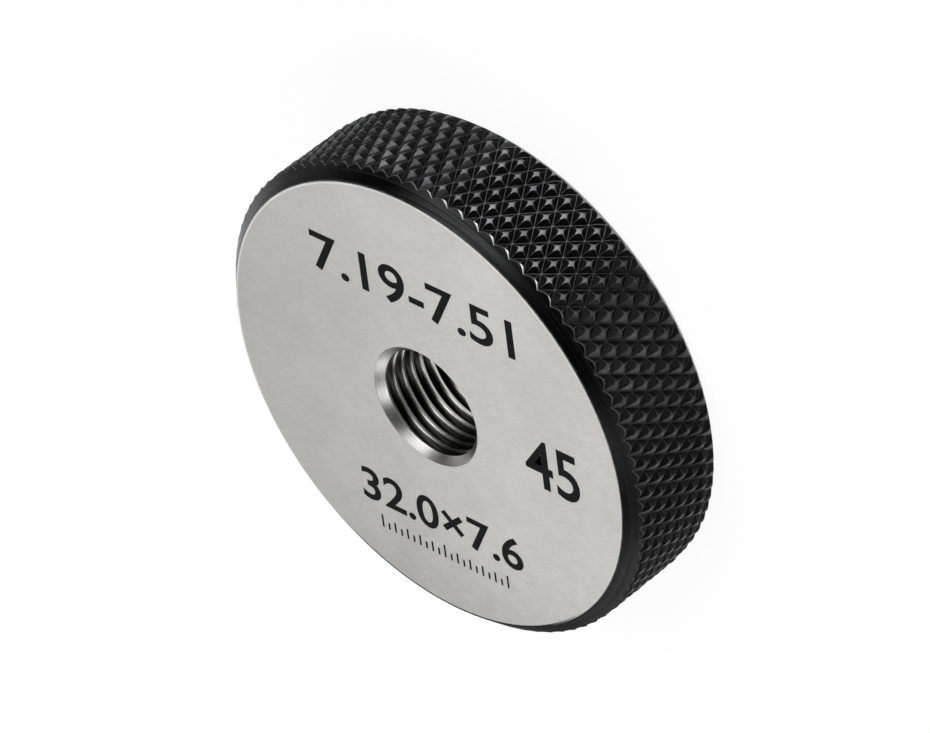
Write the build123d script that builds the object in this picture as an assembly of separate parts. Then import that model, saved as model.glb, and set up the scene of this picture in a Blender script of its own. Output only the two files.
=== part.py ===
from build123d import *
import math
import os

# Solid thread ring gauge for the M8 x 0.75 fine thread: one disc of gauge steel.
# A threaded bore runs through the middle, both faces are ground flat, both outer
# corners are turned to 45 degrees, the marked side's wider than the back's, and the
# rim between them is diamond knurled.
# Frame: Z is the bore axis, Z = 0 is the back face that the gauge lies on, and the
# marked face is at Z = THICKNESS. +X is the reading direction of the marked face.
# All sizes in millimetres.

# ---- driving dimensions -------------------------------------------------------
RIM_DIAMETER = 32.0        # over the tips of the knurl
THICKNESS = 7.6            # ground face to ground face
FRONT_CORNER = 0.97        # leg of the 45 degree corner beside the marked face
BACK_CORNER = 0.60         # leg of the 45 degree corner beside the back face
FRONT_RADIUS = RIM_DIAMETER / 2 - FRONT_CORNER      # flat of the marked face
BACK_RADIUS = RIM_DIAMETER / 2 - BACK_CORNER        # flat of the back face

THREAD_PITCH = 0.75        # M8 x 0.75
THREAD_MAJOR = 8.0
THREAD_MINOR_RADIUS = (THREAD_MAJOR - 1.0825 * THREAD_PITCH) / 2     # 3.594, crests of the thread
SINK_RADIUS = 4.03         # mouth of the 45 degree countersink at both faces
SINK_DEPTH = SINK_RADIUS - THREAD_MINOR_RADIUS

KNURL_CELLS = 88           # diamonds round the rim (a multiple of 4 keeps the box square)
KNURL_DEPTH = 0.29         # tip of a diamond to the crossing of two grooves
KNURL_EDGE = 0.65          # first row of crossings, below the marked face
HALF_PITCH = 0.93          # from one row of crossings to the next, so diamonds 1.86 long
KNURL_STEPS = 7            # half pitches from the first row of crossings to the last

TIP_RADIUS = RIM_DIAMETER / 2
ROOT_RADIUS = TIP_RADIUS - KNURL_DEPTH


# ---- knurled blank ------------------------------------------------------------
# Rows of points lie half an axial pitch apart. Along a row, crossings of the grooves
# (at the root radius) alternate with tips (at the outer radius), and each next row is
# shifted by one, so every diamond is a low pyramid of four flat facets.
def is_tip(row, col):
    return (row + col) % 2 == 0


def rim_point(row, col):
    angle = math.pi * col / KNURL_CELLS
    radius = TIP_RADIUS if is_tip(row, col) else ROOT_RADIUS
    z = THICKNESS - KNURL_EDGE - row * HALF_PITCH
    return Vector(radius * math.cos(angle), radius * math.sin(angle), z)


FIRST_ROW, LAST_ROW = -1, KNURL_STEPS + 1      # one row beyond each face
COLS = 2 * KNURL_CELLS
rows = {r: [rim_point(r, c) for c in range(COLS)] for r in range(FIRST_ROW, LAST_ROW + 1)}


def flat(points):
    return Face(Wire.make_polygon(points, close=True))


facets = []
for r in range(FIRST_ROW, LAST_ROW):
    high, low = rows[r], rows[r + 1]
    for c in range(COLS):
        n = (c + 1) % COLS
        if is_tip(r, c):
            # the groove runs from the next point of the upper row to this one of the lower row
            facets.append(flat([high[c], low[c], high[n]]))
            facets.append(flat([high[n], low[c], low[n]]))
        else:
            facets.append(flat([high[c], low[c], low[n]]))
            facets.append(flat([high[c], low[n], high[n]]))
facets.append(flat(rows[FIRST_ROW]))
facets.append(flat(list(reversed(rows[LAST_ROW]))))
blank = Solid(Shell(facets))
if blank.volume < 0:
    blank = Solid(Shell([-f for f in facets]))

# ---- turned section -----------------------------------------------------------
# Half section in the XZ plane, from the thread's crests out to the rim. It is wider
# than the rim between the two corners, so there the knurl alone sets the surface.
OUT = TIP_RADIUS + 0.5
section = [
    (THREAD_MINOR_RADIUS, SINK_DEPTH),
    (SINK_RADIUS, 0.0),
    (BACK_RADIUS, 0.0),
    (OUT, OUT - BACK_RADIUS),
    (OUT, THICKNESS - (OUT - FRONT_RADIUS)),
    (FRONT_RADIUS, THICKNESS),
    (SINK_RADIUS, THICKNESS),
    (THREAD_MINOR_RADIUS, THICKNESS - SINK_DEPTH),
]
turned = revolve(
    Face(Wire.make_polygon([Vector(r, 0, z) for r, z in section], close=True)),
    axis=Axis.Z,
    revolution_arc=360,
)

ring = turned & blank
body = ring.solids()[0] if hasattr(ring, "solids") else ring[0]
body = Solid(body.wrapped) if not isinstance(body, Solid) else body

os.makedirs("parts", exist_ok=True)
export_step(body, "parts/ring_gauge.step")
print("ring_gauge", body.is_valid, "volume mm3", round(body.volume, 2), "faces", len(body.faces()))
box = body.bounding_box()
print("box", box.min, box.max)
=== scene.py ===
import bpy
import math
import numpy as np
from mathutils import Matrix, Vector


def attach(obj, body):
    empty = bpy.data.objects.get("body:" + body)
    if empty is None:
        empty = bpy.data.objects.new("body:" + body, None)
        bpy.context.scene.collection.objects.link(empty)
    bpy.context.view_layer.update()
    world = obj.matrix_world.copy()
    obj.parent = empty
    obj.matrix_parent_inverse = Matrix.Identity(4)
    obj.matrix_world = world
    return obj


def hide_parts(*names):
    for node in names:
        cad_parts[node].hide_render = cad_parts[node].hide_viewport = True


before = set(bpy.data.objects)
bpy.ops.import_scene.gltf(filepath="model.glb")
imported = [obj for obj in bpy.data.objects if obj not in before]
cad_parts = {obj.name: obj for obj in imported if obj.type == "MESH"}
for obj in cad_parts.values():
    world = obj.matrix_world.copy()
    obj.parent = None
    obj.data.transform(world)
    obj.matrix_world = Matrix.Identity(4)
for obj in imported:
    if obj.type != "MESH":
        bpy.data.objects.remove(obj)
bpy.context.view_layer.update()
scene = bpy.context.scene
MM = 0.001

# ------------------------------------------------------------------ sizes, mm
T = 7.6                  # thickness
RO = 16.0                # knurl tips
RF = 15.03               # flat of the marked face
RB = 15.40               # flat of the back face
R_SINK = 4.03            # countersink mouth
P = 0.75                 # thread pitch
R_MINOR = 3.594          # thread crests
R_MAJOR = 4.012          # thread roots
CELLS = 88               # diamonds round the rim
DEPTH = 0.31             # knurl depth
EDGE_ROW = 0.65          # first row of groove crossings, below the marked face
HALF = 0.93              # half of a diamond's length along the rim's width


# ------------------------------------------------------------------ mesh tools
def new_object(name, verts, faces, scale=1.0):
    me = bpy.data.meshes.new(name)
    v = np.asarray(verts, float) * scale
    me.from_pydata([tuple(p) for p in v], [], [tuple(int(i) for i in f) for f in faces])
    me.validate()
    me.update()
    ob = bpy.data.objects.new(name, me)
    scene.collection.objects.link(ob)
    return ob


def combine(target, tool, operation):
    """target with tool intersected or taken away, as a new mesh; both are closed."""
    mod = target.modifiers.new("combine", "BOOLEAN")
    mod.operation = operation
    mod.solver = "MANIFOLD"
    mod.object = tool
    deps = bpy.context.evaluated_depsgraph_get()
    me = bpy.data.meshes.new_from_object(target.evaluated_get(deps))
    target.modifiers.clear()
    old = target.data
    target.data = me
    bpy.data.meshes.remove(old)
    tool_mesh = tool.data
    bpy.data.objects.remove(tool)
    bpy.data.meshes.remove(tool_mesh)
    return target


def revolve(profile, steps):
    """A closed profile of (r, z) points, turned about Z."""
    prof = np.array(profile, float)
    a = np.linspace(0, 2 * math.pi, steps, endpoint=False)
    n = len(prof)
    verts = np.zeros((steps, n, 3))
    verts[:, :, 0] = prof[None, :, 0] * np.cos(a)[:, None]
    verts[:, :, 1] = prof[None, :, 0] * np.sin(a)[:, None]
    verts[:, :, 2] = prof[None, :, 1]
    faces = []
    for i in range(steps):
        i2 = (i + 1) % steps
        for j in range(n):
            j2 = (j + 1) % n
            faces.append((i * n + j, i2 * n + j, i2 * n + j2, i * n + j2))
    return verts.reshape(-1, 3), faces


def rounded(points, radii, steps=3):
    """A closed polyline with each corner i replaced by an arc of radii[i]."""
    out = []
    n = len(points)
    for i in range(n):
        p0, p1, p2 = (np.array(points[(i + k) % n], float) for k in (-1, 0, 1))
        r = radii[i]
        if r <= 0:
            out.append(tuple(p1))
            continue
        d0 = (p0 - p1) / np.linalg.norm(p0 - p1)
        d2 = (p2 - p1) / np.linalg.norm(p2 - p1)
        half = math.acos(max(-1, min(1, float(d0 @ d2)))) / 2
        cut = r / math.tan(half)
        a, b = p1 + d0 * cut, p1 + d2 * cut
        centre = p1 + (d0 + d2) / np.linalg.norm(d0 + d2) * (r / math.sin(half))
        va, vb = a - centre, b - centre
        ang = math.acos(max(-1, min(1, float(va @ vb) / (r * r))))
        for k in range(steps + 1):
            t = k / steps
            v = (math.sin((1 - t) * ang) * va + math.sin(t * ang) * vb) / math.sin(ang)
            out.append(tuple(centre + v))
    return out


# ------------------------------------------------------------------ knurled blank
# Two families of helical grooves cross. In groove coordinates (u, v) each diamond is a
# square, x and y running from -1 to 1 across it: a low dome cut by the four straight
# flanks of the grooves, which leave a four-armed patch of it at the tip. The flanks meet
# in narrow rounded ridges and end on a narrow groove floor.
FLOOR = 0.95             # the groove floor starts here
SLOPE = 1.55             # steepness of the flanks
DOME = 1.25              # fall of the dome
RIDGE = 0.05             # half width of a ridge
WANDER = (1.23, -1.48, 0.51, 1.28, 0.23, 0.59, -1.16)     # degrees: the knurl's pitch drifts a little
FIRST_CROSSING = 46.5
RING_COUNT = 5
CROWN = 0.64             # beside the marked face the knurl runs out into low round crowns,
CROWN_START = 0.86       # full here and
CROWN_END = 1.30         # gone here, below the face


def rim_angle(c):
    t = c * 2 * math.pi / CELLS
    w = WANDER
    drift = (w[0] + w[1] * np.sin(t) + w[2] * np.cos(t) + w[3] * np.sin(2 * t) + w[4] * np.cos(2 * t)
             + w[5] * np.sin(3 * t) + w[6] * np.cos(3 * t))
    return np.radians(FIRST_CROSSING + c * 360.0 / CELLS + drift)


def diamond(x, y):
    """Height of a diamond, 1 at its tip and 0 on the groove floor."""
    ax, ay = np.abs(x), np.abs(y)
    diff = ax - ay
    m = np.minimum((ax + ay + np.sqrt(diff * diff + RIDGE * RIDGE)) / 2, FLOOR)
    return np.clip(np.minimum(SLOPE * (FLOOR - m), 1 - DOME / 2 * (ax * ax + ay * ay)), 0, 1)


def dome_edge(f):
    """x where a flank cuts the dome, along y = f x."""
    q = DOME * (1 + f * f)
    c = SLOPE * FLOOR - 1
    return (SLOPE - math.sqrt(max(SLOPE * SLOPE - 2 * q * c, 0))) / q


def ring_points(ring):
    """16 points about the tip; each of the four sides gives a corner, a point, its middle and a point."""
    if ring < 2:
        part = (0.55, 1.0)[ring]
        side = [(part * dome_edge(f), part * dome_edge(f) * f) for f in (-1, -0.5, 0, 0.5)]
    else:
        m = (0.76, FLOOR, 1.0)[ring - 2]
        side = [(m, m * f) for f in (-1, -0.9, 0, 0.9)]
    pts = []
    for k in range(4):
        for x, y in side:
            for _ in range(k):
                x, y = -y, x
            pts.append((x, y))
    return pts


def uneven(i, j, n):
    """A fixed number from -1 to 1 for each diamond: no two are struck quite alike."""
    t = np.sin(i * 12.9898 + j * 78.233 + n * 37.719) * 43758.5453
    return 2 * (t - np.floor(t)) - 1


def full_width(c):
    """1 where the corner is turned so far down that the crowns beside it nearly join."""
    off = np.abs(np.mod(np.degrees(rim_angle(c)) - 58 + 180, 360) - 180)
    t = np.clip((off - 55) / 30, 0, 1)
    return t * t * (3 - 2 * t)


def knurled_blank():
    index, us, vs, xs, ys, cell = {}, [], [], [], [], []
    faces = []
    period = CELLS * 1000

    def vertex(ci, cj, x, y):
        iu, iv = round((ci + (x + 1) / 2) * 1000), round((cj + (y + 1) / 2) * 1000)
        t = (iu + iv) // (2 * period)
        key = (iu - t * period, iv - t * period)
        if key not in index:
            index[key] = len(us)
            us.append(key[0] / 1000)
            vs.append(key[1] / 1000)
            xs.append(x)
            ys.append(y)
            cell.append((ci % CELLS, cj % CELLS))
        return index[key]

    layout = [ring_points(m) for m in range(RING_COUNT)]
    for d in range(-1, 9):
        for q in range(CELLS):
            s = 2 * q + (d % 2)
            ci, cj = (s + d) // 2, (s - d) // 2
            tip = vertex(ci, cj, 0.0, 0.0)
            rings = [[vertex(ci, cj, x, y) for x, y in pts] for pts in layout]
            for i in range(16):
                faces.append((tip, rings[0][i], rings[0][(i + 1) % 16]))
            for a, b in zip(rings, rings[1:]):
                for i in range(16):
                    n = (i + 1) % 16
                    if i % 4 < 2:
                        faces.append((a[i], b[i], b[n]))
                        faces.append((a[i], b[n], a[n]))
                    else:
                        faces.append((a[i], b[i], a[n]))
                        faces.append((b[i], b[n], a[n]))
    u, v = np.array(us), np.array(vs)
    x, y = np.array(xs), np.array(ys)
    cell = np.array(cell)
    c, k = (u + v) / 2, u - v
    near = 1 - np.maximum(np.abs(x), np.abs(y))
    below = EDGE_ROW + k * HALF
    fade = np.clip((CROWN_END - below) / (CROWN_END - CROWN_START), 0, 1)
    fade = fade * fade * (3 - 2 * fade)
    across = 2 * (c - np.floor(c + 1e-9)) - 1
    full = full_width(c)
    crown = (CROWN + (0.97 - CROWN) * full) * (1 - across * across * (1 - 0.75 * full))
    height = (1 - fade) * diamond(x, y) + fade * crown
    near = near * (1 - fade)
    fade = np.clip((1.25 - (T - below)) / 0.55, 0, 1)
    fade = fade * fade * (3 - 2 * fade)
    across = 2 * (c + 0.5 - np.floor(c + 0.5 + 1e-9)) - 1
    height = (1 - fade) * height + fade * CROWN * (1 - across * across)
    near = near * (1 - fade)
    r = RO - DEPTH * (1 - height) - 0.014 * near * (1 + uneven(cell[:, 0], cell[:, 1], 0))
    way = np.mod(np.degrees(rim_angle(c)), 360)
    rough = 0.018 + 0.030 * np.clip(1 - np.abs(way - 28) / 26, 0, 1) + 0.020 * np.clip(1 - np.abs(way - 122) / 36, 0, 1)
    r = r - rough * near * (uneven(cell[:, 0], cell[:, 1], 1) * x + uneven(cell[:, 0], cell[:, 1], 2) * y)
    ang = rim_angle(c)
    z = T - EDGE_ROW - k * HALF
    verts = np.stack([r * np.cos(ang), r * np.sin(ang), z], 1)
    # close both ends with a fan to the axis, well outside the finished faces
    edges = set()
    for f in faces:
        for e in range(3):
            edges.add((f[e], f[(e + 1) % 3]))
    top, bottom = len(verts), len(verts) + 1
    verts = np.vstack([verts, [[0, 0, T + 0.9], [0, 0, -0.9]]])
    for a, b in sorted(edges):
        if (b, a) not in edges:
            faces.append((b, a, top if verts[a][2] > T / 2 else bottom))
    return verts, faces


def groove_coordinates(points):
    """(u, v) of points on the rim, and their place c round it."""
    table = np.linspace(-2, CELLS + 2, 8 * CELLS)
    angle = np.degrees(rim_angle(table))
    a = np.degrees(np.arctan2(points[:, 1], points[:, 0]))
    low = math.degrees(rim_angle(0.0))
    a = low + np.mod(a - low, 360.0)
    c = np.interp(a, angle, table)
    k = (T - EDGE_ROW - points[:, 2]) / HALF
    return c, k


# ------------------------------------------------------------------ turned section
def turned_section():
    out = RO + 0.4
    bore = 3.3
    sink = R_SINK - bore
    points = [(bore, sink), (R_SINK, 0), (RB, 0), (out, out - RB), (out, T - (out - RF)), (RF, T), (R_SINK, T),
              (bore, T - sink)]
    radii = [0, 0.05, 0.07, 0, 0, 0.07, 0.05, 0]
    return revolve(rounded(points, radii), 528)


# ------------------------------------------------------------------ thread cutter
THREAD_TURN = 0.35       # where the thread starts, in turns


def thread_cutter():
    steps = 120
    w_root = P / 16
    flank = (R_MAJOR - R_MINOR) * math.tan(math.radians(30))
    s = [(-w_root - flank - 0.012, R_MINOR - 0.001), (-w_root - flank * 0.93, R_MINOR + 0.030),
         (-w_root - flank * 0.04, R_MAJOR - 0.020), (-w_root * 0.6, R_MAJOR),
         (w_root * 0.6, R_MAJOR), (w_root + flank * 0.04, R_MAJOR - 0.020),
         (w_root + flank * 0.93, R_MINOR + 0.030), (w_root + flank + 0.012, R_MINOR - 0.001)]
    n = len(s)
    turns = int(math.ceil(T / P)) + 4
    rows = [(k * P + z, r) for k in range(-2, turns - 2) for z, r in s]
    nrow = len(rows)
    verts = []
    for i in range(steps):
        a = 2 * math.pi * i / steps
        for z, r in rows:
            verts.append((r * math.cos(a), r * math.sin(a), z + P * (i / steps + THREAD_TURN)))
    faces = []
    for i in range(steps):
        last = i == steps - 1
        shift = n if last else 0
        i2 = (i + 1) % steps
        for j in range(nrow - 1):
            j2 = j + shift
            if j2 + 1 < nrow:
                faces.append((i * nrow + j, i2 * nrow + j2, i2 * nrow + j2 + 1, i * nrow + j + 1))
    tris = []
    for f in faces:
        tris.append((f[0], f[1], f[2]))
        tris.append((f[0], f[2], f[3]))
    used = sorted({i for f in tris for i in f})
    remap = {o: k for k, o in enumerate(used)}
    verts = [verts[o] for o in used]
    tris = [tuple(remap[i] for i in f) for f in tris]
    edges = set()
    for f in tris:
        for e in range(3):
            edges.add((f[e], f[(e + 1) % 3]))
    low, high = len(verts), len(verts) + 1
    zmid = T / 2
    verts += [(0, 0, -2.0), (0, 0, T + 2.0)]
    for a, b in sorted(edges):
        if (b, a) not in edges:
            tris.append((b, a, high if verts[a][2] > zmid else low))
    return verts, tris


gauge = new_object("gauge_ring", *turned_section())
combine(gauge, new_object("knurl_tool", *knurled_blank()), "INTERSECT")
cutter = new_object("thread_tool", *thread_cutter())
ends = revolve([(0.004, R_SINK - R_MINOR + 0.014), (5, R_SINK - R_MINOR + 0.014), (5, T - R_SINK + R_MINOR - 0.014),
                (0.004, T - R_SINK + R_MINOR - 0.014)], 120)
combine(cutter, new_object("thread_length", *ends), "INTERSECT")
combine(gauge, cutter, "DIFFERENCE")
me = gauge.data
me.transform(Matrix.Scale(MM, 4))
me.update()


# ------------------------------------------------------------------ materials
class Surface:
    """A node material: its Principled shader and short forms for the nodes that feed it."""

    def __init__(self, name):
        self.mat = bpy.data.materials.new(name)
        self.mat.use_nodes = True
        self.nt = self.mat.node_tree
        self.nt.nodes.clear()
        out = self.nt.nodes.new("ShaderNodeOutputMaterial")
        self.bsdf = self.nt.nodes.new("ShaderNodeBsdfPrincipled")
        self.nt.links.new(self.bsdf.outputs[0], out.inputs[0])

    def put(self, socket, value):
        if isinstance(value, bpy.types.NodeSocket):
            self.nt.links.new(value, socket)
        elif isinstance(value, tuple) and len(value) == 3 and socket.type == "RGBA":
            socket.default_value = (*value, 1)
        else:
            socket.default_value = value

    def set(self, name, value):
        self.put(self.bsdf.inputs[name], value)

    def math(self, op, a, b=0.0, c=0.0, clamp=False):
        n = self.nt.nodes.new("ShaderNodeMath")
        n.operation = op
        n.use_clamp = clamp
        for i, v in enumerate((a, b, c)):
            self.put(n.inputs[i], v)
        return n.outputs[0]

    def vector(self, op, a, b):
        n = self.nt.nodes.new("ShaderNodeVectorMath")
        n.operation = op
        self.put(n.inputs[0], a)
        self.put(n.inputs[1], b)
        return n.outputs[0]

    def place(self):
        """Object coordinates in millimetres."""
        n = self.nt.nodes.new("ShaderNodeTexCoord")
        return self.vector("MULTIPLY", n.outputs["Object"], (1000.0, 1000.0, 1000.0))

    def split(self, v):
        n = self.nt.nodes.new("ShaderNodeSeparateXYZ")
        self.put(n.inputs[0], v)
        return n.outputs

    def join(self, x, y, z):
        n = self.nt.nodes.new("ShaderNodeCombineXYZ")
        for i, v in enumerate((x, y, z)):
            self.put(n.inputs[i], v)
        return n.outputs[0]

    def turned(self):
        """Radius, height and angle about the bore, in mm and radians."""
        x, y, z = self.split(self.place())[:3]
        r = self.math("SQRT", self.math("ADD", self.math("MULTIPLY", x, x), self.math("MULTIPLY", y, y)))
        return r, z, self.math("ARCTAN2", y, x)

    def around(self, low, high, soft=7.0):
        """1 between two directions round the part, in degrees, fading past them."""
        x, y, z = self.split(self.place())[:3]
        way = self.math("WRAP", self.math("DEGREES", self.math("ARCTAN2", y, x)), 260.0, -100.0)
        return self.math("MULTIPLY", self.range(way, low - soft, low + soft, 0.0, 1.0, True),
                         self.range(way, high - soft, high + soft, 1.0, 0.0, True))

    def noise(self, v, scale, detail=2.0, rough=0.5, distortion=0.0):
        n = self.nt.nodes.new("ShaderNodeTexNoise")
        self.put(n.inputs["Vector"], v)
        n.inputs["Scale"].default_value = scale
        n.inputs["Detail"].default_value = detail
        n.inputs["Roughness"].default_value = rough
        n.inputs["Distortion"].default_value = distortion
        return n.outputs[0]

    def turn(self, v, degrees, stretch):
        n = self.nt.nodes.new("ShaderNodeMapping")
        n.vector_type = "POINT"
        self.put(n.inputs["Vector"], v)
        n.inputs["Rotation"].default_value = (0, 0, math.radians(degrees))
        m = self.nt.nodes.new("ShaderNodeVectorMath")
        m.operation = "MULTIPLY"
        self.put(m.inputs[0], n.outputs[0])
        m.inputs[1].default_value = stretch
        return m.outputs[0]

    def range(self, v, lo, hi, to_lo=0.0, to_hi=1.0, soft=False):
        n = self.nt.nodes.new("ShaderNodeMapRange")
        n.clamp = True
        n.interpolation_type = "SMOOTHSTEP" if soft else "LINEAR"
        for i, val in enumerate((v, lo, hi, to_lo, to_hi)):
            self.put(n.inputs[i], val)
        return n.outputs[0]

    def mix(self, fac, a, b):
        n = self.nt.nodes.new("ShaderNodeMix")
        n.data_type = "RGBA"
        self.put(n.inputs[0], fac)
        self.put(n.inputs[6], a)
        self.put(n.inputs[7], b)
        return n.outputs[2]

    def bump(self, height, strength, distance, normal=None):
        n = self.nt.nodes.new("ShaderNodeBump")
        n.inputs["Strength"].default_value = strength
        n.inputs["Distance"].default_value = distance
        self.put(n.inputs["Height"], height)
        if normal is not None:
            self.put(n.inputs["Normal"], normal)
        return n.outputs[0]


def edge_on(m, lo, hi, least):
    """1 face on, falling to least where the surface is seen edge on."""
    n = m.nt.nodes.new("ShaderNodeLayerWeight")
    n.inputs["Blend"].default_value = 0.5
    return m.range(n.outputs["Facing"], lo, hi, 1.0, least, True)


def ground_face():
    """Fine ground and lapped face: faint crossed strokes, soft clouds and a few light brown stains; painted shade
    towards -x and -y, a painted highlight along part of the outer edge and a near-black line painted along another
    part.
    """
    m = Surface("ground_face_steel")
    p = m.place()
    strokes = m.noise(m.turn(p, 33, (0.7, 11.0, 1.0)), 1.0, 3.0, 0.6)
    strokes2 = m.noise(m.turn(p, -28, (0.8, 9.0, 1.0)), 1.0, 3.0, 0.6)
    lay = m.math("ADD", strokes, strokes2)
    grain = m.noise(p, 8.0, 3.0, 0.6)
    cloud = m.noise(p, 0.55, 4.0, 0.6, 0.4)
    broad = m.noise(p, 0.13, 2.0, 0.5)
    tone = m.math("ADD", m.math("MULTIPLY", cloud, 0.62), m.math("MULTIPLY", broad, 0.40))
    tone = m.math("ADD", tone, m.math("MULTIPLY", lay, 0.42))
    tone = m.math("ADD", tone, m.math("MULTIPLY", grain, 0.28))
    metal = m.mix(m.range(tone, 0.82, 1.24), FACE_DARK, FACE_LIGHT)
    x, y = m.split(p)[:2]
    # Painted shade: the face colour is darkened towards -x and towards low y.
    painted_shade = m.math("MULTIPLY", m.range(x, -16.0, 7.0, 0.855, 1.11), m.range(y, -15.0, -7.0, 0.88, 1.0, True))
    metal = m.vector("MULTIPLY", metal, m.join(painted_shade, painted_shade, painted_shade))
    r = m.turned()[0]
    border = m.range(m.math("ADD", r, m.math("MULTIPLY", m.math("SUBTRACT", grain, 0.5), 0.06)), RF - 0.14, RF - 0.09, 0.0, 1.0, True)
    # Painted highlight: a light line along the face's outer edge from 25° to 195° round the part.
    metal = m.mix(m.math("MULTIPLY", border, m.math("MULTIPLY", m.around(25, 195, 16), 0.8)), metal, (0.86, 0.86, 0.85))
    # A near-black line is painted along the face's outer edge from -140° to -50° and from 240° to 320°.
    metal = m.mix(m.math("MULTIPLY", border, m.math("ADD", m.around(-140, -50, 9), m.around(240, 320, 9))), metal, (0.006, 0.006, 0.007))
    stain = m.math("MULTIPLY", m.range(m.noise(p, 0.42, 5.0, 0.65), 0.56, 0.72, 0.0, 1.0, True),
                   m.range(broad, 0.40, 0.60, 0.1, 1.0))
    metal = m.mix(m.math("MULTIPLY", stain, 0.25), metal, FACE_STAIN)
    m.set("Base Color", metal)
    m.set("Metallic", 1.0)
    m.set("Roughness", m.range(m.math("ADD", cloud, m.math("MULTIPLY", grain, 0.5)), 0.5, 1.0, 0.40, 0.52))
    height = m.math("ADD", m.math("MULTIPLY", lay, 0.6), m.math("MULTIPLY", grain, 0.5))
    m.set("Normal", m.bump(height, 0.35, 0.000004))
    return m.mat


def bore_steel():
    """Turned bore: lines round the axis, brighter and smoother than the faces; painted shade in the thread roots, and
    the thread darker on one side.
    """
    m = Surface("thread_steel")
    r, z, a = m.turned()
    fine = m.noise(m.join(m.math("MULTIPLY", r, 14.0), m.math("MULTIPLY", z, 14.0), m.math("MULTIPLY", a, 1.2)), 1.0, 3.0, 0.6)
    wide = m.noise(m.join(m.math("MULTIPLY", r, 2.0), m.math("MULTIPLY", z, 2.0), m.math("MULTIPLY", a, 1.6)), 1.0, 3.0, 0.6)
    spots = m.noise(m.place(), 2.2, 4.0, 0.6)
    metal = m.mix(m.range(m.math("ADD", wide, m.math("MULTIPLY", spots, 0.5)), 0.5, 1.0), BORE_DARK, BORE_LIGHT)
    lines = m.noise(m.join(m.math("MULTIPLY", r, 6.5), m.math("MULTIPLY", z, 6.5), m.math("MULTIPLY", a, 1.1)), 1.0, 2.0, 0.6)
    side = m.math("SUBTRACT", T / 2 - R_SINK + R_MINOR, m.math("ABSOLUTE", m.math("SUBTRACT", z, T / 2)))
    inside = m.range(side, 0.0, 0.02)
    # Painted shade: the thread roots are darkened to near black.
    painted_root_shade = m.math("MULTIPLY", inside, m.range(m.math("ADD", r, m.math("MULTIPLY", m.math("SUBTRACT", spots, 0.5), 0.08)), R_MINOR + 0.01, R_MINOR + 0.13, 0.0, 1.0, True))
    metal = m.mix(m.math("MULTIPLY", m.math("SUBTRACT", 1.0, inside), m.range(lines, 0.36, 0.64, 0.32, 0.64)), metal, (0.30, 0.298, 0.293))
    # The thread is made darker on its side from -92° to -20° round the axis.
    dark_side = m.math("MULTIPLY", inside, m.range(m.math("ADD", m.around(-92, -20, 16), m.math("MULTIPLY", m.math("SUBTRACT", wide, 0.5), 0.8)), 0.1, 0.9, 0.0, 0.75))
    metal = m.mix(dark_side, metal, (0.07, 0.068, 0.065))
    m.set("Base Color", m.mix(painted_root_shade, metal, (0.035, 0.034, 0.033)))
    m.set("Metallic", 1.0)
    m.set("Roughness", m.math("ADD", m.range(fine, 0.3, 0.7, 0.22, 0.32), m.math("MULTIPLY", m.math("SUBTRACT", 1.0, inside), 0.06)))
    m.set("Normal", m.bump(fine, 0.4, 0.000005))
    return m.mat


def knurl_cell(m):
    """x, y, dome and flank heights of the diamond at a point, from its groove coordinates, and its own number."""
    uv = m.nt.nodes.new("ShaderNodeUVMap")
    uv.uv_map = "knurl"
    u, v = m.split(uv.outputs[0])[:2]
    x = m.math("SUBTRACT", m.math("MULTIPLY", m.math("FRACT", u), 2.0), 1.0)
    y = m.math("SUBTRACT", m.math("MULTIPLY", m.math("FRACT", v), 2.0), 1.0)
    far = m.math("MAXIMUM", m.math("ABSOLUTE", x), m.math("ABSOLUTE", y))
    flank = m.math("MAXIMUM", m.math("MULTIPLY", m.math("SUBTRACT", FLOOR, far), SLOPE), 0.0)
    square = m.math("ADD", m.math("MULTIPLY", x, x), m.math("MULTIPLY", y, y))
    dome = m.math("SUBTRACT", 1.0, m.math("MULTIPLY", square, DOME / 2))
    place = m.math("FRACT", m.math("MULTIPLY", m.math("ADD", u, v), 0.5))
    across = m.math("SUBTRACT", m.math("MULTIPLY", place, 2.0), 1.0)
    lot = m.nt.nodes.new("ShaderNodeTexWhiteNoise")
    lot.noise_dimensions = "2D"
    m.put(lot.inputs["Vector"], m.join(m.math("FLOOR", u), m.math("FLOOR", v), 0.0))
    return x, y, far, flank, dome, across, square, lot.outputs["Value"]


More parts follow.
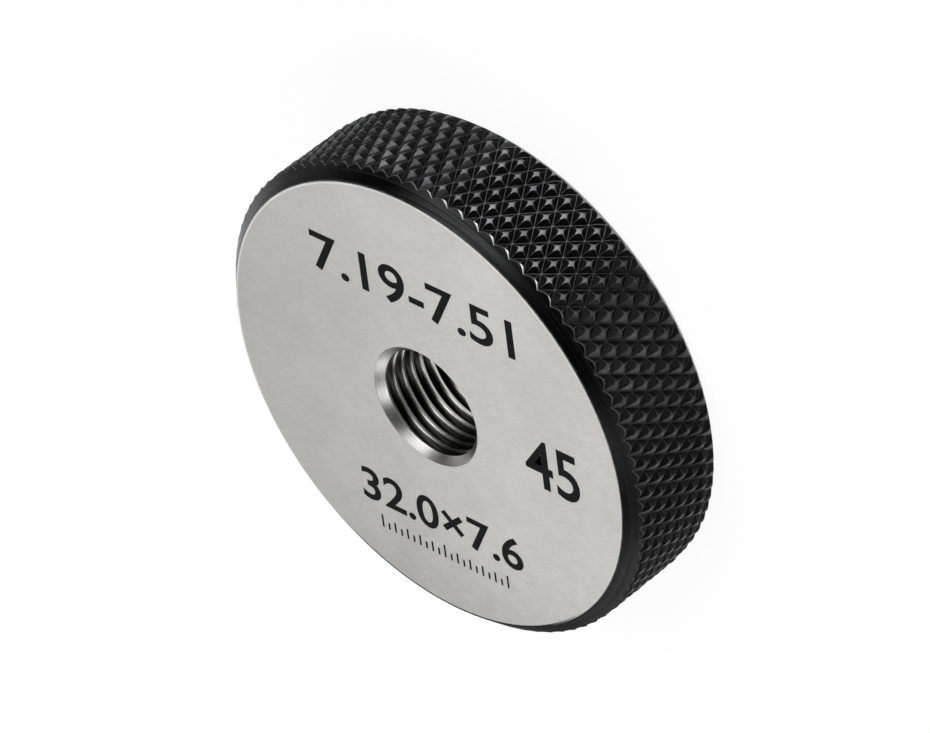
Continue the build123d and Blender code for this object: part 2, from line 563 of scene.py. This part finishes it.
def turned_black():
    """Blackened turned corner: fine tool lines round the axis, a few brighter rubbed streaks, streaks lightened by
    direction as painted reflection, and painted shade on one side.
    """
    m = Surface("blackened_turned_steel")
    r, z, a = m.turned()
    fine = m.noise(m.join(m.math("MULTIPLY", r, 11.0), m.math("MULTIPLY", z, 11.0), m.math("MULTIPLY", a, 1.4)), 1.0, 3.0, 0.62)
    wide = m.noise(m.join(m.math("MULTIPLY", r, 3.0), m.math("MULTIPLY", z, 3.0), m.math("MULTIPLY", a, 2.2)), 1.0, 2.0, 0.5)
    spots = m.noise(m.place(), 3.0, 4.0, 0.65)
    rub = m.math("MULTIPLY", m.range(fine, 0.52, 0.75, 0.0, 1.0, True), m.range(wide, 0.45, 0.65, 0.15, 1.0))
    edge = m.range(m.math("ADD", r, m.math("MULTIPLY", m.math("SUBTRACT", spots, 0.5), 0.10)), RF + 0.10, RF + 0.02, 0.0, 1.0, True)
    x, y, far, flank, dome, across, square, lot = knurl_cell(m)
    crown = m.math("MULTIPLY", m.math("MULTIPLY", m.math("SUBTRACT", 1.0, m.math("MULTIPLY", across, across)), CROWN), DEPTH)
    rim = m.math("SUBTRACT", m.math("ADD", crown, RO - DEPTH), r)
    rim = m.range(m.math("ADD", rim, m.math("MULTIPLY", m.math("SUBTRACT", spots, 0.5), 0.04)), 0.01, 0.07, 1.0, 0.0, True)
    # The worn break edge by the marked face is nearly taken away from -140° to -38°: painted shade on that side.
    edge = m.math("MULTIPLY", edge, m.math("SUBTRACT", 0.25, m.math("MULTIPLY", m.around(-140, -38, 10), 0.23)))
    wear_and_glint = m.math("MAXIMUM", m.math("MULTIPLY", rub, RUB), edge)
    # Rubbed metal where the corner meets the crowns, kept to 5°–112°: wear, and painted highlight on that side.
    wear_and_glint = m.math("MAXIMUM", wear_and_glint, m.math("MULTIPLY", m.math("MULTIPLY", rim, m.around(5, 112, 10)), 0.08))
    # Streaks lightened by direction round the part: painted reflection, strongest from 148° to 245°, weaker from 61° to
    # 86° and faint from -140° to 25°.
    streak = m.math("ADD", fine, m.math("MULTIPLY", m.math("SUBTRACT", wide, 0.5), 0.6))
    wear_and_glint = m.math("MAXIMUM", wear_and_glint, m.math("MULTIPLY", m.around(61, 86, 9), m.range(streak, 0.38, 0.62, 0.018, 0.13)))
    wear_and_glint = m.math("MAXIMUM", wear_and_glint, m.math("MULTIPLY", m.around(148, 245, 22), m.range(streak, 0.35, 0.65, 0.36, 0.62)))
    wear_and_glint = m.math("MAXIMUM", wear_and_glint, m.math("MULTIPLY", m.around(-140, 25, 14), m.range(streak, 0.35, 0.65, 0.004, 0.022)))
    m.set("Base Color", m.mix(wear_and_glint, BLACK, WEAR_AND_GLINT_GREY))
    m.set("Metallic", m.math("MULTIPLY", wear_and_glint, 0.6))
    gloss = m.range(wide, 0.35, 0.65, SPEC * 0.85, SPEC * 1.15)
    low = m.range(z, 1.0, 2.0, 0.5, 0.0)
    # The reflection is cut to a tenth from -140° to -42°: painted shade on that side.
    m.set("Specular IOR Level", m.math("MAXIMUM", low, m.math("MULTIPLY", m.math("MULTIPLY", gloss, edge_on(m, 0.5, 0.85, 0.12)), m.math("SUBTRACT", 1.0, m.math("MULTIPLY", m.around(-140, -42, 14), 0.9)))))
    m.set("Roughness", m.range(m.math("ADD", fine, m.math("MULTIPLY", spots, 0.5)), 0.5, 1.0, 0.24, 0.36))
    m.set("Normal", m.bump(fine, 0.5, 0.000006))
    return m.mat


def knurl_black():
    """Blackened knurl: painted highlight laid as rubbed metal at the tips, along the ridges, on one flank of each
    diamond and as a thin line on each groove floor.
    """
    m = Surface("blackened_knurl_steel")
    x, y, far, flank, dome, across, square, lot = knurl_cell(m)
    ridge = m.math("ABSOLUTE", m.math("SUBTRACT", m.math("ABSOLUTE", x), m.math("ABSOLUTE", y)))
    p = m.place()
    spots = m.noise(p, 3.5, 4.0, 0.65)
    fine = m.noise(p, 14.0, 3.0, 0.6)
    broad = m.noise(p, 0.35, 2.0, 0.5)
    rag = m.math("MULTIPLY", m.math("SUBTRACT", spots, 0.5), 0.25)
    # Painted highlight: a star patch at each tip, arms along the ridges and a line on each groove floor, laid as rubbed
    # metal.
    star = m.range(m.math("ADD", m.math("SUBTRACT", flank, dome), rag), 0.0, 0.11, 0.0, 1.0, True)
    arm = m.math("MULTIPLY", m.range(ridge, 0.02, 0.09, 1.0, 0.0, True), m.range(far, 0.3, 0.9, 1.0, 0.0))
    arm = m.math("MULTIPLY", arm, m.range(spots, 0.35, 0.6, 0.3, 1.0))
    close = m.math("MINIMUM", m.math("ABSOLUTE", x), m.math("ABSOLUTE", y))
    floor = m.math("MULTIPLY", m.range(far, 0.95, 0.98, 0.0, 1.0, True), m.range(spots, 0.3, 0.6, 0.4, 1.0))
    floor = m.math("MULTIPLY", floor, m.range(close, 0.85, 0.96, 1.0, 0.35, True))
    # The painted highlights are strongest between 48° and 84° round the rim.
    glint_side = m.around(48, 84, 8)
    upper = m.around(84, 170, 6)
    patch = m.range(m.math("ADD", square, m.math("MULTIPLY", rag, 1.2)), 0.0, 0.32, 1.0, 0.42)
    cross = m.math("MULTIPLY", m.range(ridge, 0.0, 0.13, 1.0, 0.0, True), m.range(far, 0.0, 0.55, 1.1, 0.35))
    patch = m.math("MULTIPLY", star, m.math("ADD", patch, m.math("MULTIPLY", cross, m.range(fine, 0.35, 0.65, 0.4, 1.1))))
    # One side of each star is made brighter: painted highlight.
    patch = m.math("MULTIPLY", patch, m.range(m.math("SUBTRACT", y, x), -0.5, 0.5, 0.6, 1.25))
    patch = m.math("MULTIPLY", patch, m.range(glint_side, 0.0, 1.0, 0.30, 1.9))
    arm = m.math("MULTIPLY", arm, m.math("ADD", m.range(glint_side, 0.0, 1.0, 0.6, 1.25), m.math("MULTIPLY", upper, 0.5)))
    floor = m.math("MULTIPLY", floor, m.range(glint_side, 0.0, 1.0, 0.22, 1.0))
    # Painted light: one flank of each diamond is lightened, by amounts set by direction round the rim.
    side = m.range(m.math("SUBTRACT", m.math("MULTIPLY", x, -1.0), m.math("ABSOLUTE", y)), -0.02, 0.05, 0.0, 1.0, True)
    side = m.math("MULTIPLY", side, m.range(m.math("ADD", far, rag), 0.0, 0.95, 1.25, 0.75))
    side = m.math("MULTIPLY", side, m.range(far, 0.90, 0.95, 1.0, 0.0, True))
    side = m.math("MULTIPLY", side, m.math("SUBTRACT", 1.0, m.math("MULTIPLY", upper, m.range(far, 0.55, 0.72, 0.0, 0.85, True))))
    sides = m.math("ADD", m.around(-40, 40, 9), m.math("MULTIPLY", m.around(84, 108, 7), 2.1))
    sides = m.math("ADD", sides, m.math("MULTIPLY", m.around(116, 170, 8), 0.9))
    side = m.math("MULTIPLY", side, m.math("MULTIPLY", sides, m.range(spots, 0.35, 0.65, 0.6, 1.2)))
    side = m.math("MULTIPLY", side, m.range(lot, 0.0, 1.0, 0.55, 1.4))
    patch = m.math("MULTIPLY", patch, m.range(lot, 0.0, 1.0, 0.75, 1.2))
    wear_and_glint = m.math("MAXIMUM", m.math("MULTIPLY", patch, STAR), m.math("MULTIPLY", arm, ARM))
    wear_and_glint = m.math("MAXIMUM", wear_and_glint, m.math("MULTIPLY", floor, LINE))
    wear_and_glint = m.math("MAXIMUM", wear_and_glint, m.math("MULTIPLY", side, SIDE))
    wear_and_glint = m.math("MULTIPLY", wear_and_glint, m.range(broad, 0.35, 0.65, 0.75, 1.1))
    r, z, a = m.turned()
    rim = m.math("SUBTRACT", m.math("SUBTRACT", RF + T, z), r)
    # Painted highlight: a near-white crescent on one side of each crown by the marked face, between 48° and 84°.
    thick = m.math("MULTIPLY", m.range(m.math("ABSOLUTE", m.math("ADD", across, 0.48)), 0.05, 0.45, 0.12, 0.0), glint_side)
    thick = m.range(m.math("SUBTRACT", m.math("ADD", rim, m.math("MULTIPLY", rag, 0.2)), thick), 0.0, 0.06, 1.0, 0.0, True)
    rim = m.range(m.math("ADD", rim, m.math("MULTIPLY", rag, 0.2)), 0.02, 0.10, 1.0, 0.0, True)
    wear_and_glint = m.math("MAXIMUM", wear_and_glint, m.math("MULTIPLY", rim, RIM * 0.22))
    bright = m.math("MULTIPLY", thick, m.math("MULTIPLY", glint_side, m.range(across, -0.20, 0.05, 1.0, 0.0, True)))
    m.set("Base Color", m.mix(bright, m.mix(wear_and_glint, BLACK, WEAR_AND_GLINT_GREY), (0.74, 0.74, 0.74)))
    m.set("Metallic", m.math("MULTIPLY", wear_and_glint, 0.6))
    dull = m.math("MAXIMUM", m.math("MULTIPLY", glint_side, 0.5), m.math("MULTIPLY", upper, 0.4))
    gloss = m.range(wear_and_glint, 0.0, 0.5, m.math("MULTIPLY", m.math("SUBTRACT", 1.0, dull), SPEC), 0.5)
    m.set("Specular IOR Level", m.math("MULTIPLY", gloss, edge_on(m, 0.6, 0.9, 0.3)))
    rough = m.range(m.math("ADD", spots, m.math("MULTIPLY", fine, 0.5)), 0.5, 1.0, 0.20, 0.34)
    m.set("Roughness", m.math("ADD", rough, m.math("MULTIPLY", m.math("SUBTRACT", 1.0, star), 0.20)))
    m.set("Normal", m.bump(m.math("ADD", m.math("MULTIPLY", fine, 0.4), spots), 0.5, 0.000010))
    return m.mat


BLACK = (0.0012, 0.0012, 0.0014)
# Grey of rubbed metal, used also for painted highlight and painted reflection.
WEAR_AND_GLINT_GREY = (0.335, 0.338, 0.352)
SPEC = 0.07
RUB = 0.07
RIM = 0.7
# STAR, ARM, SIDE and LINE set the strength of the knurl's painted highlights.
STAR = 0.25
ARM = 0.28
SIDE = 0.13
LINE = 0.30
FACE_DARK = (0.525, 0.52, 0.507)
FACE_LIGHT = (0.665, 0.66, 0.647)
FACE_STAIN = (0.56, 0.53, 0.495)
BORE_DARK = (0.52, 0.515, 0.50)
BORE_LIGHT = (0.66, 0.655, 0.64)

me.materials.clear()
for m in (ground_face(), bore_steel(), turned_black(), knurl_black()):
    me.materials.append(m)

# which surface each polygon belongs to
n_poly = len(me.polygons)
cen = np.zeros(n_poly * 3)
nor = np.zeros(n_poly * 3)
me.polygons.foreach_get("center", cen)
me.polygons.foreach_get("normal", nor)
cen = cen.reshape(-1, 3) / MM
nor = nor.reshape(-1, 3)
rad = np.hypot(cen[:, 0], cen[:, 1])
radial = (nor[:, 0] * cen[:, 0] + nor[:, 1] * cen[:, 1]) / np.maximum(rad, 1e-6)
kind = np.full(n_poly, 3)
on_face = (np.abs(nor[:, 2]) > 0.93) & (rad > R_SINK - 0.02) & ((cen[:, 2] > T - 0.03) | (cen[:, 2] < 0.03))
cone = np.where(cen[:, 2] > T / 2, RF + T - cen[:, 2], RB + cen[:, 2])
on_cone = (np.abs(rad - cone) < 0.02) & (np.abs(radial - math.sqrt(0.5)) < 0.12) & (np.abs(np.abs(nor[:, 2]) - math.sqrt(0.5)) < 0.12)
kind[on_cone] = 2
kind[(rad > RF - 0.1) & (np.abs(nor[:, 2]) > 0.75)] = 0
kind[on_face] = 0
kind[rad < R_SINK + 0.06] = 1
me.polygons.foreach_set("material_index", kind.astype(np.int32))
me.polygons.foreach_set("use_smooth", np.ones(n_poly, bool))

# groove coordinates of the rim, kept as a UV map
n_loop = len(me.loops)
loop_vert = np.zeros(n_loop, np.int32)
loop_edge = np.zeros(n_loop, np.int32)
me.loops.foreach_get("vertex_index", loop_vert)
me.loops.foreach_get("edge_index", loop_edge)
starts = np.zeros(n_poly, np.int32)
totals = np.zeros(n_poly, np.int32)
me.polygons.foreach_get("loop_start", starts)
me.polygons.foreach_get("loop_total", totals)
loop_poly = np.repeat(np.arange(n_poly), totals)
co = np.zeros(len(me.vertices) * 3)
me.vertices.foreach_get("co", co)
c, k = groove_coordinates(co.reshape(-1, 3) / MM)
c, k = c[loop_vert], k[loop_vert]
first = c[starts][loop_poly]
c = c + CELLS * np.round((first - c) / CELLS)
uv = me.uv_layers.new(name="knurl")
uv.data.foreach_set("uv", np.stack([c + k / 2, c - k / 2], 1).astype(np.float32).ravel())

# edges stay crisp where the surface turns by more than its limit
order = np.argsort(loop_edge, kind="stable")
le, lp = loop_edge[order], loop_poly[order]
pair = np.nonzero(le[1:] == le[:-1])[0]
pa, pb = lp[pair], lp[pair + 1]
turn_cos = np.einsum("ij,ij->i", nor[pa], nor[pb])
limit = np.where((kind[pa] == 3) & (kind[pb] == 3), math.cos(math.radians(20)), math.cos(math.radians(33)))
crisp = np.zeros(len(me.edges), bool)
crisp[le[pair]] = (turn_cos < limit) | ((kind[pa] == 2) != (kind[pb] == 2)) & (turn_cos < math.cos(math.radians(12)))
sharp = me.attributes.get("sharp_edge") or me.attributes.new("sharp_edge", "BOOLEAN", "EDGE")
sharp.data.foreach_set("value", crisp)
me.update()
weigh = gauge.modifiers.new("weigh", "WEIGHTED_NORMAL")
weigh.keep_sharp = True
weigh.weight = 50
me = bpy.data.meshes.new_from_object(gauge.evaluated_get(bpy.context.evaluated_depsgraph_get()))
gauge.modifiers.clear()
gauge.data = me

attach(gauge, "root")
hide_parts("ring_gauge")

# ------------------------------------------------------------------ markings
# Plain numbers and a plain scale, laid on the marked face as a thin dark mark.
MARK_HEIGHT = 0.006


def mark_ink():
    m = Surface("dark_mark")
    p = m.place()
    spots = m.noise(p, 3.0, 4.0, 0.6)
    fine = m.noise(p, 22.0, 2.0, 0.6)
    m.set("Base Color", m.mix(m.range(m.math("ADD", spots, m.math("MULTIPLY", fine, 0.5)), 0.5, 1.0), (0.004, 0.004, 0.005), (0.009, 0.009, 0.010)))
    m.set("Specular IOR Level", 0.10)
    m.set("Roughness", m.range(spots, 0.3, 0.7, 0.5, 0.65))
    m.set("Normal", m.bump(fine, 0.4, 0.000004))
    return m.mat


def text_faces(body, size, x0, x1, base, weight):
    """The words' flat outline as triangles, between x0 and x1 on the line y = base, in mm."""
    cu = bpy.data.curves.new("words", "FONT")
    cu.body = body
    cu.size = size
    cu.offset = weight * size
    cu.resolution_u = 6
    ob = bpy.data.objects.new("words", cu)
    scene.collection.objects.link(ob)
    flat = bpy.data.meshes.new_from_object(ob.evaluated_get(bpy.context.evaluated_depsgraph_get()))
    pts = np.zeros(len(flat.vertices) * 3)
    flat.vertices.foreach_get("co", pts)
    pts = pts.reshape(-1, 3)
    tris = [tuple(p.vertices) for p in flat.polygons]
    bpy.data.objects.remove(ob)
    bpy.data.meshes.remove(flat)
    bpy.data.curves.remove(cu)
    lo, hi = pts[:, 0].min(), pts[:, 0].max()
    pts[:, 0] = x0 + (pts[:, 0] - lo) * (x1 - x0) / (hi - lo)
    pts[:, 1] += base - np.median(pts[pts[:, 1] < size * 0.1, 1])
    return pts[:, :2], tris


def slab(flats, bottom, top):
    """Closed slabs from flat triangle patches."""
    verts, faces = [], []
    for pts, tris in flats:
        n, at = len(pts), len(verts)
        verts += [(x, y, bottom) for x, y in pts] + [(x, y, top) for x, y in pts]
        edges = set()
        for t in tris:
            a2 = 0.0
            for i in range(len(t)):
                p, q = pts[t[i]], pts[t[(i + 1) % len(t)]]
                a2 += p[0] * q[1] - q[0] * p[1]
            t = tuple(t) if a2 > 0 else tuple(reversed(t))
            faces.append(tuple(at + n + i for i in t))
            faces.append(tuple(at + i for i in reversed(t)))
            for i in range(len(t)):
                edges.add((t[i], t[(i + 1) % len(t)]))
        for p, q in sorted(edges):
            if (q, p) not in edges:
                faces.append((at + p, at + q, at + n + q, at + n + p))
    return verts, faces


def tick(x, y, width, height):
    return [(x - width / 2, y), (x + width / 2, y), (x + width / 2, y + height), (x - width / 2, y + height)], [(0, 1, 2, 3)]


lines = [text_faces("7.19-7.51", 3.85, -7.8, 8.0, 7.05, 0.012),
         text_faces("45", 5.0, 7.75, 11.9, -1.9, 0.012),
         text_faces("32.0\u00d77.6", 3.3, -6.3, 6.5, -9.4, 0.016)]
lines += [tick(-5.0 + 0.5 * i, -11.3, 0.14, 0.95 if i % 10 == 0 else (0.75 if i % 2 == 0 else 0.5)) for i in range(21)]
mv, mf = slab(lines, T - 0.002, T + MARK_HEIGHT)
marks = new_object("face_marks", mv, mf, MM)
marks.data.materials.append(mark_ink())
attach(marks, "root")

# ------------------------------------------------------------------ floor
floor = new_object("floor", [(-3, -3, 0), (3, -3, 0), (3, 3, 0), (-3, 3, 0)], [(0, 1, 2, 3)])
fm = Surface("pale_floor")
soft = fm.noise(fm.place(), 0.004, 2.0, 0.5)
fm.set("Base Color", fm.mix(soft, (0.14, 0.14, 0.14), (0.16, 0.16, 0.16)))
fm.set("Roughness", 0.9)
fm.set("Emission Color", (1.0, 1.0, 1.0))
fm.set("Emission Strength", 0.90)
floor.data.materials.append(fm.mat)

# ------------------------------------------------------------------ camera
R = Matrix(((0.7376048170516434, -0.3486633761213585, 0.5782499321347715),
            (-0.10418659345039255, 0.7873486858389991, 0.6076406838361004),
            (-0.6671463764477885, -0.5084445860261048, 0.5444261339551295)))
cam_data = bpy.data.cameras.new("camera")
cam_data.sensor_fit = "HORIZONTAL"
cam_data.sensor_width = 36.0
cam_data.lens = 270.968
cam_data.clip_start = 0.01
cam_data.clip_end = 50
cam = bpy.data.objects.new("camera", cam_data)
cam.matrix_world = Matrix.Translation(Vector((0.2355620605, 0.2482306176, 0.218232 + T * MM))) @ R.to_4x4()
scene.collection.objects.link(cam)
scene.camera = cam

# ------------------------------------------------------------------ light
# Soft round studio lights: direction round the part, height above the floor, strength.
LIGHTS = (
    (62, 4, 0.8), (86, 4, 1.3), (110, 4, 0.9), (165, 10, 0.18), (188, 8, 0.08),
    (274, 5, 0.12), (300, 5, 0.9), (328, 6, 0.9),
    (285, 22, 0.24), (315, 22, 0.14),
    (108, 42, 0.60), (216, 42, 0.33), (252, 42, 0.36), (334, 44, 0.40),
    (90, 63, 0.30),
)
for i, (azimuth, height, strength) in enumerate(LIGHTS):
    az, el = math.radians(azimuth), math.radians(height)
    lamp = bpy.data.lights.new("soft_light_%02d" % i, "SUN")
    lamp.energy = strength
    lamp.angle = math.radians(24)
    ob = bpy.data.objects.new("soft_light_%02d" % i, lamp)
    towards = Vector((math.cos(el) * math.cos(az), math.cos(el) * math.sin(az), math.sin(el)))
    ob.rotation_mode = "QUATERNION"
    ob.rotation_quaternion = towards.to_track_quat("Z", "Y")
    ob.location = towards * 0.3
    scene.collection.objects.link(ob)

# The room: as pale as the floor at the horizon, dim overhead.
scene.view_settings.view_transform = "Standard"
world = bpy.data.worlds.new("studio")
scene.world = world
world.use_nodes = True
wt = world.node_tree
back = wt.nodes["Background"]
way = wt.nodes.new("ShaderNodeTexCoord")
part = wt.nodes.new("ShaderNodeSeparateXYZ")
fade = wt.nodes.new("ShaderNodeMapRange")
fade.interpolation_type = "SMOOTHSTEP"
wt.links.new(way.outputs["Generated"], part.inputs[0])
wt.links.new(part.outputs[2], fade.inputs[0])
for i, v in enumerate((0.01, 0.09, 1.03, 0.03)):
    fade.inputs[i + 1].default_value = v
wt.links.new(fade.outputs[0], back.inputs[1])
back.inputs[0].default_value = (1, 1, 1, 1)
